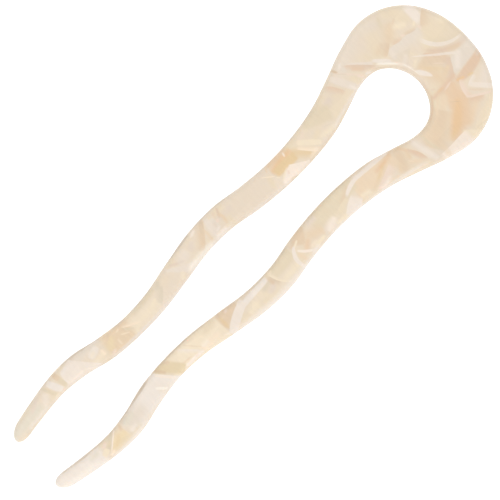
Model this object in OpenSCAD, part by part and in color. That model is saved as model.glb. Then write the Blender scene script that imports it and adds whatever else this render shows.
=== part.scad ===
// Wavy two-prong hair fork: one U-shaped bar cut from a sheet of pearl acetate and tumbled smooth.
// It lies flat. The length runs along Y with the crown at +Y, the prongs stand either side of
// x = 0, and the face that it rests on is z = 0. Sizes are millimetres.

/* [Fork] */
// Length over all, from the longer prong's tip to the top of the crown
fork_length = 135; // [110:1:155]
// Thickness of the sheet
sheet_thickness = 4; // [3:0.1:5]
// Radius that tumbling leaves on the edges of both faces
edge_radius = 1.4; // [0.5:0.1:1.45]

/* [Prong tips] */
// Length over which a tip rounds off to its end
nose_length = 3.3; // [2.5:0.1:4.5]
// How much shorter the prong on the -X side is ground
short_prong_trim = 0.7; // [0:0.1:1.5]

/* [Smoothness] */
// Greatest distance between two cross-sections of the bar
section_step = 1.4; // [1:0.1:3]
// Flat steps that make up each rounded edge
edge_steps = 3; // [2:1:4]
// Cross-sections along each rounded tip
nose_steps = 6; // [4:1:10]

/* [Hidden] */

// Length of the fork that the sections below are written for
drawn_length = 135;
plan_scale = fork_length / drawn_length;

// Sections across the bar of one half, from the crown to the tip. Each is the point on the bar's
// inner edge and the point on its outer edge, as [sideways from the fork's middle line, upwards
// from the prong tips]. Both edges run through these points as smooth curves.
INNER = 0;
OUTER = 1;
sections = [
    [[0.0, 120.4],  [ 0.0,  135.0]],   // middle of the crown
    [[3.4, 119.75], [ 7.3,  134.0]],
    [[6.1, 118.1],  [13.2,  130.8]],   // crown
    [[7.8, 115.9],  [17.0,  125.8]],   // shoulder
    [[8.4, 113.2],  [18.35, 120.3]],   // widest place
    [[8.1, 110.2],  [17.0,  113.0]],   // eye
    [[6.8, 106.0],  [14.5,  106.0]],   // top of the neck
    [[5.0, 100.0],  [12.5,  100.0]],   // neck
    [[4.0,  92.0],  [11.05,  92.0]],
    [[3.9,  84.5],  [10.65,  84.5]],   // first bend, inwards
    [[4.65, 76.0],  [11.3,   76.0]],
    [[6.0,  68.0],  [12.45,  68.5]],
    [[6.1,  61.0],  [12.35,  61.0]],   // second bend, outwards
    [[4.85, 52.0],  [10.9,   52.0]],
    [[3.85, 44.0],  [ 9.4,   44.0]],
    [[3.7,  37.0],  [ 9.05,  37.0]],   // third bend, inwards
    [[4.35, 29.0],  [10.1,   29.0]],
    [[6.0,  22.0],  [11.5,   22.5]],
    [[6.7,  16.0],  [11.6,   17.0]],   // fourth bend, outwards
    [[6.2,   9.0],  [10.5,    9.0]],
    [[4.8,   0.0],  [ 8.5,    0.0]]    // tip
];
last = len(sections) - 1;

// Cubic from a to b that leaves at speed va and arrives at speed vb
function cubic(a, b, va, vb, t) =
    a * (1 + 2 * t) * (1 - t) * (1 - t) + va * t * (1 - t) * (1 - t)
    + b * t * t * (3 - 2 * t) + vb * t * t * (t - 1);

// An edge's direction at each section comes from the stretches before and after it. The crown's
// middle runs straight across, and the last stretch keeps its bend up to the tip.
function stretch(edge, i) = norm(sections[i + 1][edge] - sections[i][edge]);
function slope(edge, i) = (sections[i + 1][edge] - sections[i][edge]) / stretch(edge, i);
function heading(edge, i) =
    i == 0 ? [sections[1][edge][0] / stretch(edge, 0), 0]
    : i == last ? 2 * slope(edge, i - 1) - heading(edge, i - 1)
    : (slope(edge, i) * stretch(edge, i - 1) + slope(edge, i - 1) * stretch(edge, i))
      / (stretch(edge, i - 1) + stretch(edge, i));
function edge_at(edge, i, t) =
    cubic(sections[i][edge], sections[i + 1][edge],
          heading(edge, i) * stretch(edge, i), heading(edge, i + 1) * stretch(edge, i), t);

// Where the cross-sections of one half lie, as [stretch, share of it, how full the section is].
// A tip's sections shrink along a quarter of an ellipse, from full to nothing at its end.
function end_share(trim) = 1 - trim / plan_scale / stretch(OUTER, last - 1);
function nose_share() = nose_length / plan_scale / stretch(OUTER, last - 1);
function bar_cuts() =
    [for (i = [0 : last - 2])
        let (n = ceil(stretch(OUTER, i) * plan_scale / section_step))
        for (k = [0 : n - 1]) [i, k / n, 1]];
function prong_cuts(trim) =
    let (full_to = end_share(trim) - nose_share(),
         n = ceil(stretch(OUTER, last - 1) * full_to * plan_scale / section_step))
    [for (k = [0 : n - 1]) [last - 1, full_to * k / n, 1]];
function nose_cuts(trim) =
    [for (k = [0 : nose_steps - 1])
        let (turn = 90 * k / nose_steps)
        [last - 1, end_share(trim) - nose_share() * (1 - sin(turn)), cos(turn)]];
function half_cuts(trim) = concat(bar_cuts(), prong_cuts(trim), nose_cuts(trim));

// Outline of the bar's cross-section, as [outwards, up], for a bar of that width
function edge_angles(quarter) = [for (k = [0 : edge_steps]) 90 * (quarter + k / edge_steps)];
function outline(width, fullness) =
    let (reach = width / 2 - edge_radius, rise = sheet_thickness / 2 - edge_radius)
    [for (quarter = [0 : 3])
        let (side_u = (quarter == 0 || quarter == 3) ? 1 : -1, side_z = quarter < 2 ? 1 : -1)
        for (a = edge_angles(quarter))
            [(side_u * reach + edge_radius * cos(a)) * fullness,
             sheet_thickness / 2 + (side_z * rise + edge_radius * sin(a)) * fullness]];

// A point of the fork from its place in the plan, on the half that side picks
function fork_point(plan, side, z) =
    [side * plan[0] * plan_scale, (plan[1] - drawn_length / 2) * plan_scale, z];
function ring(cut, side) =
    let (inner = edge_at(INNER, cut[0], cut[1]),
         outer = edge_at(OUTER, cut[0], cut[1]),
         width = norm(outer - inner),
         outwards = (outer - inner) / width / plan_scale)
    [for (q = outline(width * plan_scale, cut[2]))
        fork_point((inner + outer) / 2 + outwards * q[0], side, q[1])];
function tip_point(trim, side) =
    let (inner = edge_at(INNER, last - 1, end_share(trim)),
         outer = edge_at(OUTER, last - 1, end_share(trim)))
    fork_point((inner + outer) / 2, side, sheet_thickness / 2);

function reversed(list) = [for (i = [len(list) - 1 : -1 : 0]) list[i]];

// The whole bar, from the tip on the -X side over the crown to the tip on the +X side
module fork() {
    left_cuts = half_cuts(short_prong_trim);
    right_cuts = half_cuts(0);
    rings = concat(
        [for (cut = reversed(left_cuts)) ring(cut, -1)],
        [for (j = [1 : len(right_cuts) - 1]) ring(right_cuts[j], 1)]);
    n = len(rings);
    m = 4 * (edge_steps + 1);
    points = concat(
        [for (r = rings) for (p = r) p],
        [tip_point(short_prong_trim, -1), tip_point(0, 1)]);
    walls = [for (j = [0 : n - 2]) for (k = [0 : m - 1])
        [j * m + k, (j + 1) * m + k, (j + 1) * m + (k + 1) % m, j * m + (k + 1) % m]];
    left_nose = [for (k = [0 : m - 1]) [n * m, k, (k + 1) % m]];
    right_nose = [for (k = [0 : m - 1]) [n * m + 1, (n - 1) * m + (k + 1) % m, (n - 1) * m + k]];
    color([0.93, 0.86, 0.76]) polyhedron(points, concat(walls, left_nose, right_nose));
}

fork();
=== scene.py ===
"""Looks of a wavy two-prong hair fork, cut from one sheet of pearl acetate and polished.

The fork lies flat on a pale table and is seen from straight above. Lengths are metres, and names
that end in _mm are millimetres. Places in the sheet's pattern are millimetres in the part's plan,
with the crown at +Y and the prongs either side of x = 0.
"""
import logging
import math
from dataclasses import dataclass
from enum import Enum

import bpy
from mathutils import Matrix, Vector


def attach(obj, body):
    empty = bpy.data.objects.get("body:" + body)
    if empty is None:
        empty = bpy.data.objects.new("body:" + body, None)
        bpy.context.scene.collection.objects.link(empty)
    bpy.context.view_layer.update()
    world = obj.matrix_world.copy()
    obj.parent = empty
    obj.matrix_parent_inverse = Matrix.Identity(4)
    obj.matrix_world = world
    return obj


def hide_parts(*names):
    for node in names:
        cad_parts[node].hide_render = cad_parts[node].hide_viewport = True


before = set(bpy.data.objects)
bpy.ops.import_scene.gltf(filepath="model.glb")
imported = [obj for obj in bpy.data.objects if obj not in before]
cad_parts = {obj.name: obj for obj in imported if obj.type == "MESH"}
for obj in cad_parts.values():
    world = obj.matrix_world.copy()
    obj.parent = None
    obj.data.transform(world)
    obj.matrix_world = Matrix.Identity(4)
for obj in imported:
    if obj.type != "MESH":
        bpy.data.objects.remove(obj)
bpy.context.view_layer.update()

MM = 0.001
SHEET_THICKNESS_MM = 4.0
LOG = logging.getLogger("hair_fork")

PURE_WHITE = (1.0, 1.0, 1.0, 1.0)

# The fork's two long edges, as indexes
INNER = 0
OUTER = 1

Plan = tuple[float, float]
Colour = tuple[float, float, float]
XYZ = tuple[float, float, float]


class Tint(Enum):
    """Colours of the pearl in the sheet under white light: red, green and blue from 0 to 255."""

    PEARL = (235, 219, 199)
    GREY = (234, 221, 205)
    MIST = (232, 216, 199)
    MILK = (237, 223, 207)
    WHITE = (242, 229, 215)
    SNOW = (247, 232, 216)
    CHALK = (252, 243, 229)
    CREAM = (244, 228, 202)
    STRAW = (237, 220, 193)
    WHEAT = (239, 218, 182)
    FAWN = (231, 212, 178)
    OLIVE = (231, 215, 188)
    BUFF = (238, 216, 188)
    SAND = (235, 212, 182)
    HONEY = (233, 206, 164)
    TAN = (231, 208, 180)
    AMBER = (236, 202, 162)
    APRICOT = (235, 206, 174)
    CLAY = (231, 203, 176)
    ROSE = (229, 205, 182)
    BLUSH = (241, 220, 202)
    PEACH = (249, 230, 205)
    FROST = (241, 230, 218)
    MOSS = (231, 221, 203)
    KHAKI = (226, 212, 190)
    DUSK = (224, 204, 179)
    UMBER = (221, 195, 165)
    # Painted shade, laid along the rounded edges that face away from the key lamp
    SHADE = (214, 198, 178)


class Edge(Enum):
    """How a streak's two sides fade, left then right of its run, as shares of its width."""

    SOFT = (0.5, 0.5)
    FIRM = (0.25, 0.25)
    LEFT = (0.0, 0.85)
    RIGHT = (0.85, 0.0)
    CRISP = (0.0, 0.0)


@dataclass(frozen=True)
class Streak:
    """One streak, leaf or cloud of pearl, or a painted shade or highlight at an edge, charted
    where it lies in the sheet's upper face.

    It runs from start to end. The bend is how far its middle bows to the left of that run, the
    taper is how much narrower it gets towards both ends, the lean is how much wider its end is
    than its middle, and ends is the share of its half length over which it fades out there.
    """

    tint: Tint
    start: Plan
    end: Plan
    width: float
    bend: float = 0.0
    edge: Edge = Edge.SOFT
    taper: float = 0.5
    ends: float = 0.5
    strength: float = 1.0
    lean: float = 0.0


(PEARL, GREY, MIST, MILK, WHITE, SNOW, CHALK, CREAM, STRAW, WHEAT, FAWN, OLIVE, BUFF, SAND,
 HONEY, TAN, AMBER, APRICOT, CLAY, ROSE, BLUSH, PEACH, FROST, MOSS, KHAKI, DUSK, UMBER,
 SHADE) = Tint
SOFT, FIRM, LEFT, RIGHT, CRISP = Edge

CROWN = (
    # Broad clouds
    Streak(GREY, (-18.5, 47.0), (-15.5, 56.0), 5.0, 0.0, SOFT, 0.2, strength=0.6),
    Streak(STRAW, (-16.5, 58.5), (-9.5, 60.8), 6.0, 0.0, SOFT, 0.3),
    Streak(OLIVE, (-16.8, 56.4), (-13.2, 55.2), 1.8, 0.0, SOFT, 0.4, strength=0.8),
    Streak(SAND, (-14.0, 58.0), (-9.8, 53.4), 5.0, 0.0, SOFT, 0.3, strength=0.8),
    Streak(STRAW, (-7.5, 61.5), (-1.0, 66.0), 6.0, 0.0, SOFT, 0.2, strength=0.5),
    Streak(CREAM, (-7.8, 65.2), (-4.6, 66.4), 2.4, 0.0, SOFT, 0.4, strength=0.6),
    Streak(SAND, (-3.0, 55.4), (5.4, 57.0), 6.0, 0.0, SOFT, 0.1, 0.3),
    Streak(TAN, (2.8, 61.2), (-2.8, 56.0), 4.0, 0.0, SOFT, 0.2, 0.3, 0.8),
    Streak(TAN, (8.4, 52.4), (13.4, 44.4), 9.0, 0.0, SOFT, 0.1, 0.15),
    Streak(MILK, (8.3, 67.0), (11.2, 61.6), 5.0, 0.0, SOFT, 0.1),
    Streak(STRAW, (13.4, 63.5), (17.6, 53.0), 6.0, 0.6, SOFT, 0.1, 0.2),
    Streak(BUFF, (11.8, 60.0), (15.4, 53.2), 3.2, 0.0, SOFT, 0.2, 0.3),
    Streak(APRICOT, (4.8, 57.8), (14.8, 52.8), 6.8, 0.6, SOFT, 0.1, 0.2),
    Streak(APRICOT, (5.0, 56.2), (10.4, 53.6), 3.4, 0.0, SOFT, 0.2, 0.3, 0.8),
    Streak(APRICOT, (8.6, 58.6), (15.6, 48.6), 5.6, 0.6, SOFT, 0.1, 0.15),
    Streak(BUFF, (6.2, 54.8), (8.8, 51.8), 3.0, 0.0, SOFT, 0.2, 0.3),
    Streak(CREAM, (14.2, 62.6), (17.8, 55.0), 3.0, 0.5, SOFT, 0.1, 0.2, 0.5),
    # Left of the middle
    Streak(CREAM, (-12.5, 56.6), (-10.4, 60.2), 2.6, 0.0, SOFT, 0.4),
    Streak(TAN, (-13.5, 59.0), (-12.7, 57.4), 1.0, 0.0, SOFT, 0.5, strength=0.6),
    Streak(WHITE, (-14.2, 62.3), (-8.2, 62.2), 2.9, 0.3, FIRM, 0.2),
    Streak(TAN, (-10.1, 65.6), (-7.0, 62.1), 2.8, 0.0, RIGHT, 0.2, 0.4, 0.9),
    Streak(CREAM, (-10.0, 61.6), (-9.0, 60.4), 1.1, 0.0, SOFT, 0.5),
    Streak(BLUSH, (-8.8, 61.4), (-7.4, 61.3), 1.0, 0.0, SOFT, 0.5),
    Streak(GREY, (-6.3, 61.4), (-7.4, 51.6), 4.6, 0.0, RIGHT, 0.1, 0.25),
    Streak(MILK, (-9.6, 53.6), (-6.4, 52.4), 2.0, 0.0, SOFT, 0.3),
    Streak(UMBER, (-8.5, 60.9), (-9.8, 57.6), 1.3, 0.1, LEFT, 0.3, 0.5, 0.5),
    Streak(CLAY, (-9.4, 57.2), (-10.0, 54.2), 1.7, 0.0, LEFT, 0.3, 0.5, 0.65),
    Streak(BLUSH, (-9.7, 57.0), (-9.1, 57.9), 0.8, 0.0, SOFT, 0.4),
    Streak(TAN, (-11.3, 54.0), (-9.1, 50.7), 2.6, 0.0, LEFT, 0.3, 0.4),
    Streak(TAN, (-11.6, 53.4), (-10.2, 49.8), 2.6, 0.0, SOFT, 0.3, strength=0.5),
    Streak(OLIVE, (-1.2, 67.8), (-6.4, 60.4), 2.6, 1.9, LEFT, 0.1, 0.35),
    Streak(WHITE, (-0.4, 67.4), (-6.6, 59.3), 1.15, 1.95, CRISP, 0.0, 0.3, 0.85, lean=0.25),
    # Peak in the middle of the crown
    Streak(GREY, (2.8, 69.0), (3.4, 58.6), 4.6, 0.0, FIRM, 0.0, 0.2),
    Streak(MIST, (0.8, 68.4), (0.6, 65.0), 2.2, 0.0, SOFT, 0.1),
    Streak(ROSE, (1.1, 67.2), (-4.6, 57.8), 2.5, 1.35, SOFT, 0.3, 0.5),
    Streak(TAN, (1.0, 65.6), (-0.8, 61.8), 1.5, 0.3, SOFT, 0.4, 0.5),
    Streak(WHITE, (1.2, 64.0), (4.7, 60.5), 2.6, 0.0, SOFT, 0.1, 0.3, 0.9),
    Streak(ROSE, (0.2, 60.6), (5.1, 57.6), 3.0, 0.0, LEFT, 0.0, 0.3),
    Streak(CLAY, (1.6, 61.4), (-3.2, 56.8), 2.4, 0.0, RIGHT, 0.2, 0.4, 0.8),
    Streak(SAND, (2.2, 60.4), (3.6, 57.2), 2.0, 0.0, SOFT, 0.2),
    Streak(BLUSH, (1.7, 59.9), (-0.6, 57.5), 0.5, 0.0, SOFT, 0.4, 0.5, 0.6),
    Streak(HONEY, (3.0, 59.4), (-1.4, 55.2), 1.5, 0.0, SOFT, 0.3, 0.5, 0.35),
    Streak(WHITE, (2.3, 63.8), (-5.0, 55.1), 0.75, 0.0, CRISP, 0.2, 0.2, 0.8, lean=-0.3),
    Streak(WHITE, (-6.2, 55.4), (-4.2, 52.8), 2.2, 0.0, SOFT, 0.3, 0.5, 0.6),
    Streak(CREAM, (-3.8, 56.0), (-2.2, 54.0), 1.4, 0.0, SOFT, 0.3, 0.5, 0.7),
    Streak(WHITE, (-2.3, 53.6), (1.9, 56.0), 1.5, 0.0, FIRM, 0.8, 0.3),
    # Painted highlight along the eye's upper rim, which faces the key lamp
    Streak(SNOW, (-7.2, 51.3), (-2.0, 54.1), 1.1, 0.3, SOFT, 0.3, 0.4, 0.8),
    Streak(CHALK, (-5.6, 52.8), (0.2, 54.0), 0.4, 0.2, FIRM, 0.3, 0.4, 0.7),
    # Painted shade: a tan line along the eye's rim on the right, whose edge faces away from the
    # key lamp
    Streak(CLAY, (-0.8, 53.0), (4.6, 52.0), 0.5, 0.3, SOFT, 0.3, 0.4, 0.7),
    Streak(CLAY, (4.0, 52.7), (8.7, 47.8), 1.0, 0.5, SOFT, 0.3, 0.3, 0.8),
    # Band that comes down beside the peak
    Streak(CLAY, (4.8, 68.0), (6.3, 58.2), 3.0, 0.55, FIRM, 0.4, 0.2),
    Streak(MIST, (4.6, 67.8), (5.4, 65.6), 1.6, 0.0, SOFT, 0.2, strength=0.6),
    Streak(HONEY, (7.5, 63.0), (7.0, 61.0), 1.0, 0.0, SOFT, 0.4, strength=0.8),
    Streak(AMBER, (6.8, 61.0), (6.0, 58.4), 1.2, 0.0, SOFT, 0.3),
    Streak(CLAY, (4.7, 60.1), (5.2, 51.5), 2.5, 0.3, SOFT, 0.2, 0.25),
    Streak(AMBER, (5.1, 56.0), (5.0, 53.6), 1.0, 0.0, SOFT, 0.3, strength=0.6),
    Streak(ROSE, (3.4, 53.0), (4.3, 54.3), 0.9, 0.0, SOFT, 0.3, strength=0.5),
    # Wedge and strokes on the right
    Streak(WHITE, (8.1, 62.9), (9.1, 59.6), 1.5, 0.0, RIGHT, 0.5, 0.4, 0.9),
    Streak(WHITE, (8.4, 60.1), (13.6, 64.3), 1.5, 0.0, FIRM, 0.1, 0.25, 0.8),
    Streak(BLUSH, (6.4, 59.9), (10.9, 58.3), 2.2, 0.0, RIGHT, 0.4, 0.2),
    Streak(TAN, (8.9, 58.9), (12.2, 62.0), 0.9, 0.0, SOFT, 0.4, 0.4, 0.55),
    Streak(CLAY, (11.3, 57.0), (13.5, 61.0), 2.0, 0.0, LEFT, 0.3, 0.5, 0.9),
    Streak(BLUSH, (9.95, 57.5), (13.5, 62.9), 0.75, -0.1, FIRM, 0.1, 0.25, 0.8),
    Streak(AMBER, (8.5, 56.7), (14.8, 48.9), 4.2, 0.4, SOFT, 0.4, 0.3),
    Streak(AMBER, (10.3, 54.9), (14.5, 50.0), 2.4, 0.3, SOFT, 0.4, 0.4, 0.8),
    Streak(HONEY, (13.4, 51.6), (14.9, 48.4), 1.4, 0.0, SOFT, 0.3, strength=0.4),
    Streak(BUFF, (5.2, 54.4), (9.4, 49.4), 1.2, -0.3, SOFT, 0.2, strength=0.9),
    Streak(BLUSH, (5.3, 58.1), (5.9, 55.0), 0.8, 0.0, SOFT, 0.5, strength=0.8),
    Streak(UMBER, (8.2, 54.1), (10.0, 56.2), 0.4, 0.0, CRISP, 0.3, 0.3, 0.6),
    Streak(UMBER, (9.7, 56.1), (10.6, 56.0), 0.3, 0.0, CRISP, 0.3, 0.4, 0.4),
    # White leaf at the right edge
    Streak(CREAM, (15.2, 51.2), (18.8, 54.6), 2.8, 0.0, FIRM, 0.2, 0.3),
    Streak(SNOW, (17.7, 53.0), (17.7, 44.0), 5.1, 0.0, CRISP, 0.0, 0.3),
    Streak(UMBER, (15.2, 50.2), (15.3, 46.2), 0.4, 0.0, FIRM, 0.2, 0.4, 0.2),
)

SHOULDERS = (
    # Left shoulder
    Streak(GREY, (-18.0, 50.0), (-13.0, 40.0), 7.0, 0.0, SOFT, 0.2, 0.3, 0.7),
    Streak(STRAW, (-9.4, 46.0), (-8.6, 34.0), 8.0, 0.0, SOFT, 0.1, 0.2, 0.7),
    Streak(MILK, (-13.8, 43.9), (-9.4, 48.7), 1.1, 0.0, FIRM, 0.2, 0.3),
    # Pale area at the eye's rim: partly the sheet's own white, partly painted highlight
    Streak(WHITE, (-10.6, 48.2), (-6.8, 52.1), 1.2, 0.0, FIRM, 0.4, 0.4),
    Streak(ROSE, (-13.9, 42.7), (-8.0, 48.5), 1.9, 0.0, LEFT, 0.3, 0.3),
    Streak(CLAY, (-12.8, 43.7), (-9.8, 46.6), 1.7, 0.0, SOFT, 0.4, 0.5, 0.8),
    Streak(WHITE, (-15.2, 43.6), (-13.8, 41.8), 1.2, 0.0, SOFT, 0.4, 0.5, 0.8),
    Streak(GREY, (-14.0, 43.2), (-12.6, 42.4), 1.6, 0.0, SOFT, 0.4),
    Streak(UMBER, (-15.3, 40.5), (-13.5, 41.5), 1.1, 0.0, SOFT, 0.4, 0.5, 0.9),
    Streak(BLUSH, (-14.5, 40.4), (-9.0, 45.8), 0.8, -0.1, SOFT, 0.3, 0.3, 0.7),
    Streak(KHAKI, (-14.0, 40.7), (-11.9, 42.8), 0.5, 0.0, SOFT, 0.4, 0.4, 0.8),
    Streak(STRAW, (-11.5, 42.6), (-8.6, 43.6), 1.6, 0.0, SOFT, 0.4),
    Streak(BLUSH, (-10.6, 43.8), (-8.6, 45.2), 0.9, 0.0, SOFT, 0.4),
    Streak(WHITE, (-9.4, 45.3), (-8.4, 47.2), 1.2, 0.0, SOFT, 0.4),
    # Painted highlight on the eye's rim at the left, with painted shade between it and the rim's
    # edge
    Streak(CHALK, (-9.3, 48.4), (-5.2, 52.7), 1.0, 0.15, SOFT, 0.4, 0.4),
    Streak(DUSK, (-8.7, 47.4), (-5.9, 51.0), 0.5, 0.1, SOFT, 0.3, 0.4, 0.7),
    Streak(MILK, (-14.4, 39.0), (-8.0, 42.4), 2.4, 0.0, FIRM, 0.3, 0.2),
    Streak(WHITE, (-10.4, 41.0), (-7.8, 42.0), 1.4, 0.0, SOFT, 0.4),
    Streak(CLAY, (-13.6, 36.5), (-9.0, 39.4), 2.2, 0.0, LEFT, 0.4, 0.4, 0.7),
    Streak(STRAW, (-11.4, 36.6), (-8.8, 39.0), 1.5, 0.0, SOFT, 0.4, 0.5, 0.8),
    Streak(MIST, (-11.4, 36.6), (-9.6, 33.0), 3.0, 0.0, SOFT, 0.3),
    Streak(KHAKI, (-7.7, 30.4), (-6.6, 32.9), 0.35, 0.0, FIRM, 0.4, 0.4, 0.8),
    # Right shoulder
    Streak(SAND, (11.4, 49.0), (10.6, 44.0), 8.0, 0.0, SOFT, 0.1, 0.2, 0.6),
    Streak(OLIVE, (8.4, 44.6), (15.0, 45.6), 1.4, -0.3, SOFT, 0.3, 0.4, 0.8),
    Streak(SAND, (13.2, 46.8), (17.6, 45.8), 2.4, 0.0, SOFT, 0.2, 0.4, 0.5),
    Streak(WHITE, (8.0, 42.3), (15.8, 43.9), 2.7, -0.3, SOFT, 0.2, 0.2, 0.85),
    Streak(TAN, (6.6, 38.6), (12.9, 36.6), 5.4, 0.0, SOFT, 0.3, 0.25),
    Streak(BUFF, (11.0, 38.2), (13.6, 41.2), 2.0, 0.0, SOFT, 0.3),
    Streak(SAND, (8.6, 40.0), (11.6, 39.2), 2.0, 0.0, SOFT, 0.3),
    Streak(APRICOT, (7.0, 38.5), (10.7, 41.2), 1.2, 0.0, SOFT, 0.3, 0.4, 0.8),
    Streak(ROSE, (8.8, 39.8), (14.4, 42.0), 1.7, 0.0, LEFT, 0.4, 0.4),
    Streak(CLAY, (9.6, 40.2), (13.6, 41.7), 1.8, 0.0, LEFT, 0.4, 0.5),
    Streak(SAND, (9.6, 37.2), (12.2, 35.6), 1.6, 0.0, SOFT, 0.4),
    Streak(PEACH, (10.8, 38.5), (12.2, 39.5), 0.4, 0.0, CRISP, 0.4, 0.4, 0.5),
    Streak(PEACH, (14.7, 42.4), (12.4, 34.0), 1.8, 0.0, SOFT, 0.2, 0.3, 0.7),
)

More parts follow.
